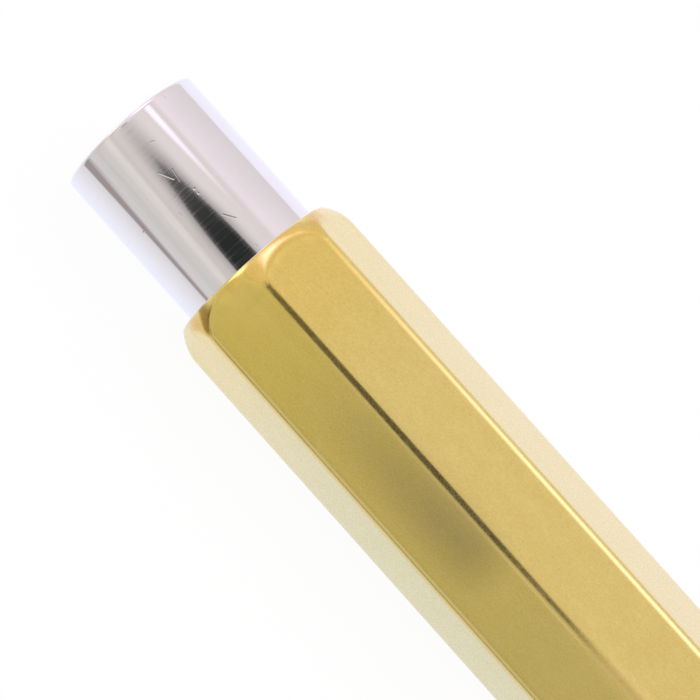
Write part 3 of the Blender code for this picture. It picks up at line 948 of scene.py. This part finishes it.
# The studio's walls: their light by the angle round the axis, in degrees from the camera's side
FULL_TURN = (-180.0, 180.0)
STUDIO_BANDS = [
    (-180.0, (0.70, 0.69, 0.64)), (-72.0, (0.74, 0.72, 0.67)), (-63.0, (0.69, 0.675, 0.615)),
    (-52.0, (0.73, 0.71, 0.645)), (-44.0, (0.84, 0.805, 0.725)), (-39.0, (0.83, 0.795, 0.715)),
    (-34.5, (0.68, 0.64, 0.57)), (-28.0, (0.72, 0.68, 0.61)), (-16.0, (0.79, 0.73, 0.67)),
    (16.0, (0.82, 0.76, 0.71)), (30.0, (0.84, 0.775, 0.71)), (50.0, (0.80, 0.735, 0.68)),
    (54.0, (0.85, 0.77, 0.73)), (58.0, (0.94, 0.84, 0.84)), (65.0, (0.93, 0.83, 0.83)),
    (72.0, (0.89, 0.81, 0.79)), (95.0, (0.83, 0.77, 0.74)), (112.0, (0.80, 0.74, 0.72)),
    (180.0, (0.80, 0.74, 0.72))]
WALL_STREAK = (0.91, 0.91, 0.91)
WALL_DIM = (0.685, 0.67, 0.49)
WALL_LINE = (0.95, 0.86, 0.78)
WALL_PALE = (1.05, 1.07, 1.28)
WALL_DEEP = (0.99, 0.98, 0.70)
WALL_WARM = (1.04, 0.965, 0.88)
WALL_ROSE = (0.90, 0.77, 0.75)
NARROW_LAMP = (1.40, 1.25, 1.35)
SOFT_LAMP = (1.25, 1.10, 1.05)
WIDE_LAMP = (1.95, 1.85, 2.6)
UPPER_RIM_LAMP = (1.9, 1.75, 3.2)
LOWER_RIM_LAMP = (2.5, 2.4, 2.6)
# The dark camera, by the angle along the axis: half width of its core, how dark the core is, and how
# dark the soft edge round it is
LEAN_RANGE = (-40.0, 20.0)
WIDTH_SCALE = 30.0
CAMERA_BLACK = (0.015, 0.018, 0.017)
CAMERA_DARK = [
    (-26.0, 0.0, 0.0, 0.0), (-23.0, 6.5, 0.10, 0.0), (-18.0, 7.5, 0.34, 0.0), (-12.0, 7.5, 0.70, 0.0),
    (-10.3, 7.0, 0.70, 0.0), (-9.9, 0.0, 0.0, 0.15), (-9.4, 0.0, 0.0, 0.22), (-8.9, 0.0, 0.4, 0.37),
    (-8.5, 6.0, 0.80, 0.55), (-8.1, 10.0, 0.90, 0.72), (-7.3, 16.5, 0.965, 0.94), (-6.5, 20.5, 0.99, 0.96),
    (-5.8, 21.5, 0.993, 0.96), (-5.0, 22.5, 0.90, 0.3), (0.0, 23.0, 0.92, 0.3), (2.3, 19.5, 0.97, 0.3),
    (4.4, 14.0, 0.97, 0.2), (6.5, 0.0, 0.5, 0.0)]


def studio_walls(nodes, turn, lean):
    """Colour of the walls, by the angles round the pencil's axis and along it."""
    # On the near side the bands slant a little along the axis
    slant = nodes.math("MINIMUM", nodes.math("MAXIMUM", lean, -10.0), -5.8)
    slant = nodes.product(nodes.math("ADD", slant, 6.5), nodes.fade(turn, -26.0, -16.0, 2.6, 0.0))
    colour = nodes.bands(nodes.math("ADD", turn, slant), FULL_TURN, STUDIO_BANDS)
    streaks = nodes.add("ShaderNodeCombineXYZ", {
        "X": nodes.product(turn, 0.45), "Y": nodes.product(lean, 0.3)}).outputs[0]
    streaks = nodes.fade(nodes.noise(streaks, 3.0, 0.6), 0.3, 0.7)
    colour = nodes.tint(nodes.product(streaks, nodes.bell(turn, -52.0, 34.0)), colour, WALL_STREAK)
    # A dim side ahead of the button, with a light line beside the camera
    ahead = nodes.fade(lean, 2.2, 3.4)
    beside = nodes.bell(turn, -46.0, 30.0)
    dim = nodes.math("ADD", nodes.fade(lean, -6.0, -4.0, 0.0, 0.87), nodes.fade(lean, -1.0, 4.0, 0.0, 0.13))
    colour = nodes.tint(nodes.product(nodes.bell(turn, -49.0, 32.0), dim), colour, WALL_DIM)
    line = nodes.math("MULTIPLY_ADD", ahead, 0.45, nodes.fade(lean, -4.0, -1.0, 0.0, 0.5))
    colour = nodes.mix(nodes.product(nodes.bell(turn, -36.0, 7.0), line), colour, WALL_LINE)
    # That side is paler further ahead, and a deeper yellow next to the button
    colour = nodes.tint(nodes.product(beside, ahead), colour, WALL_PALE)
    deep = nodes.product(nodes.fade(lean, -5.4, -4.6), nodes.fade(lean, -4.0, -0.8, 1.0, 0.0))
    colour = nodes.tint(nodes.product(beside, deep), colour, WALL_DEEP)
    # Warm walls behind
    back = nodes.fade(lean, -16.0, -10.0, 1.0, 0.0)
    warm = nodes.product(back, nodes.fade(turn, 90.0, 110.0, 1.0, 0.0))
    colour = nodes.tint(warm, colour, WALL_WARM)
    return nodes.mix(nodes.product(back, nodes.bell(turn, 12.0, 27.0)), colour, WALL_ROSE)


def studio_lamps(nodes, turn, lean, colour):
    """Lamps on the walls: a narrow one behind and a wide one ahead, and two that light the barrel's rim."""
    middle = nodes.fade(lean, -9.8, -7.0, 42.0, 44.0)
    width = nodes.fade(lean, -9.8, -7.0, 8.0, 4.5)
    narrow = nodes.product(nodes.bell(turn, middle, width), nodes.fade(lean, -9.8, -6.6, 1.0, 0.0),
                           nodes.fade(lean, -11.5, -9.8))
    colour = nodes.mix(narrow, colour, NARROW_LAMP)
    soft = nodes.product(nodes.bell(turn, 76.0, 36.0), nodes.fade(lean, -7.0, -2.0, 0.0, 0.5))
    colour = nodes.mix(soft, colour, SOFT_LAMP)
    wide = nodes.product(nodes.bell(turn, 75.0, 20.5), nodes.fade(lean, -6.0, 2.0))
    colour = nodes.mix(wide, colour, WIDE_LAMP)
    upper = nodes.product(nodes.bell(turn, 44.0, 31.0), nodes.bell(lean, -50.0, 32.0))
    colour = nodes.mix(upper, colour, UPPER_RIM_LAMP)
    lower = nodes.fade(nodes.math("MULTIPLY_ADD", turn, 0.11, lean), -74.5, -70.5, 1.0, 0.0)
    return nodes.mix(nodes.product(lower, nodes.bell(turn, -46.0, 52.0)), colour, LOWER_RIM_LAMP)


def dark_camera(nodes, turn, lean, colour):
    """The camera as the metal mirrors it, dark in the middle of the studio."""
    stops = [(angle, (half / WIDTH_SCALE, core, soft)) for angle, half, core, soft in CAMERA_DARK]
    dark = nodes.bands(lean, LEAN_RANGE, stops)
    half, core, soft = nodes.add("ShaderNodeSeparateColor", {0: dark}).outputs
    away = nodes.math("ABSOLUTE", turn)
    inside = nodes.math("SUBTRACT", nodes.product(half, WIDTH_SCALE), away)
    dusk = nodes.fade(inside, -2.0, 10.0, nodes.fade(lean, -6.0, -5.4, 0.84, 1.0), 1.0)
    core = nodes.product(nodes.fade(inside, 0.0, 3.5), core, dusk)
    around = nodes.math("DIVIDE", away, nodes.fade(lean, -8.1, -6.5, 26.0, 36.0))
    soft = nodes.product(nodes.fade(around, 0.0, 1.0, 1.0, 0.0), soft)
    return nodes.mix(nodes.math("MAXIMUM", core, soft), colour, CAMERA_BLACK)


def make_world():
    """The studio round the pencil, which lights it and which the metal mirrors."""
    world = bpy.data.worlds.new("studio")
    world.use_nodes = True
    bpy.context.scene.world = world
    nodes = Nodes(world.node_tree)
    way = nodes.add("ShaderNodeTexCoord").outputs["Generated"]
    turn = nodes.math("ARCTAN2", nodes.dot(way, ACROSS), nodes.dot(way, CAMERA_SIDE))
    turn = nodes.product(turn, DEGREES)
    lean = nodes.math("ARCSINE", nodes.dot(way, (1.0, 0.0, 0.0)))
    lean = nodes.product(lean, DEGREES)
    colour = studio_walls(nodes, turn, lean)
    colour = studio_lamps(nodes, turn, lean, colour)
    colour = dark_camera(nodes, turn, lean, colour)
    # The camera itself sees plain white above the floor
    seen = nodes.add("ShaderNodeLightPath").outputs["Is Camera Ray"]
    colour = nodes.mix(seen, colour, WHITE)
    background = nodes.add("ShaderNodeBackground", {"Color": colour, "Strength": 1.0})
    output = nodes.add("ShaderNodeOutputWorld")
    nodes.tree.links.new(background.outputs[0], output.inputs["Surface"])


FLOOR_RADIUS = 3.0
FLOOR_STEPS = 96
FLOOR_WHITE = 0.95
FLOOR_PAPER = (0.88, 0.88, 0.89)
FLOOR_SHADOW_BLUE = (0.86, 0.92, 1.0)
FLOOR_DARK = (0.35, 0.30, 0.275)
# The floor as the metal mirrors it, by its Y in millimetres: a painted reflection, with painted shade
# darker away from the pencil
FLOOR_RANGE = (-80.0, 240.0)
FLOOR_BANDS = [
    (-80.0, (0.70, 0.69, 0.64)), (-24.0, (0.72, 0.70, 0.65)), (-22.0, (0.76, 0.77, 0.75)),
    (-15.0, (0.85, 0.85, 0.83)), (-10.0, (0.92, 0.92, 0.93)), (-6.5, (0.96, 0.99, 1.07)),
    (6.5, (1.0, 1.0, 1.08)), (90.0, (0.98, 0.94, 0.97)), (170.0, (0.72, 0.66, 0.66)),
    (240.0, (0.80, 0.74, 0.71))]


def floor_mirrored(nodes):
    """Colour of the floor in the metal, a painted reflection: white near the pencil, darker further off as
    painted shade, bluish beside the barrel as a painted shadow, with a dark strip beyond.
    """
    place_of = nodes.add("ShaderNodeTexCoord").outputs["Object"]
    station = nodes.math("SUBTRACT", nodes.dot(place_of, (1 / MM, 0.0, 0.0)), barrel_rear / MM)
    side = nodes.dot(place_of, (0.0, 1 / MM, 0.0))
    colour = nodes.bands(side, FLOOR_RANGE, FLOOR_BANDS)
    # Painted shadow: the floor is bluish beside the barrel in the metal's reflections
    painted_shadow = nodes.product(nodes.bell(side, -9.0, 8.0), nodes.fade(station, -2.0, 18.0))
    colour = nodes.tint(painted_shadow, colour, FLOOR_SHADOW_BLUE)
    # The painted dark strip widens behind the pencil
    near_edge = nodes.math("ADD", nodes.fade(station, -1.5, 2.0, -25.2, -19.3),
                           nodes.fade(station, -15.0, -9.0, 1.7, 0.0))
    beyond = nodes.math("MAXIMUM", nodes.product(side, -1.0), 1.0)
    reach = nodes.math("ADD", nodes.math("DIVIDE", 1240.0, beyond), -32.4)
    behind = nodes.fade(nodes.math("SUBTRACT", station, reach), -13.0, 0.0, 1.0, 0.0)
    beside = nodes.product(nodes.fade(side, -41.0, -17.0), nodes.fade(station, -5.0, -1.0))
    strip = nodes.product(nodes.fade(nodes.math("SUBTRACT", side, near_edge), -1.7, 1.7, 1.0, 0.0),
                          nodes.math("MAXIMUM", behind, beside), nodes.fade(station, -33.0, -25.0))
    return nodes.mix(strip, colour, FLOOR_DARK)


def make_floor():
    """White floor: nearly white to the eye and, near the pencil, in reflections, where painted shade
    darkens it further off; lit with a soft shadow besides.
    """
    mesh = bpy.data.meshes.new("studio_floor")
    work = bmesh.new()
    bmesh.ops.create_circle(work, cap_ends=True, segments=FLOOR_STEPS, radius=FLOOR_RADIUS)
    work.to_mesh(mesh)
    work.free()
    floor = bpy.data.objects.new("studio_floor", mesh)
    bpy.context.scene.collection.objects.link(floor)
    material = bpy.data.materials.new("studio_floor")
    material.use_nodes = True
    nodes = Nodes(material.node_tree)
    path = nodes.add("ShaderNodeLightPath").outputs
    seen = nodes.math("MAXIMUM", path["Is Camera Ray"], path["Is Glossy Ray"])
    seen = nodes.math("MAXIMUM", seen, path["Is Transmission Ray"])
    # Only reflections see the painted pattern of the floor; the camera sees white
    shown = nodes.mix(path["Is Camera Ray"], floor_mirrored(nodes), WHITE)
    paper = nodes.add("ShaderNodeBsdfDiffuse", {"Color": (*FLOOR_PAPER, 1.0)})
    white = nodes.add("ShaderNodeEmission", {"Color": shown, "Strength": 1.0})
    mixed = nodes.add("ShaderNodeMixShader", {
        0: nodes.product(seen, FLOOR_WHITE), 1: paper.outputs[0], 2: white.outputs[0]})
    output = nodes.add("ShaderNodeOutputMaterial")
    nodes.tree.links.new(mixed.outputs[0], output.inputs["Surface"])
    mesh.materials.append(material)


LAMP_PLACE = Vector((0.1, 0.15, 0.7))
LAMP_SIZE = 0.6
LAMP_POWER = 2.2


def make_lamp():
    """A wide soft lamp overhead, for the shadow on the floor."""
    data = bpy.data.lights.new("overhead", "AREA")
    data.shape = "DISK"
    data.size = LAMP_SIZE
    data.energy = LAMP_POWER
    lamp = bpy.data.objects.new("overhead", data)
    lamp.location = LAMP_PLACE
    lamp.rotation_euler = LAMP_PLACE.to_track_quat("Z", "Y").to_euler()
    lamp.visible_glossy = False
    bpy.context.scene.collection.objects.link(lamp)


make_pencil()
make_world()
make_floor()
make_lamp()
make_camera()
bpy.context.scene.view_settings.view_transform = "Standard"
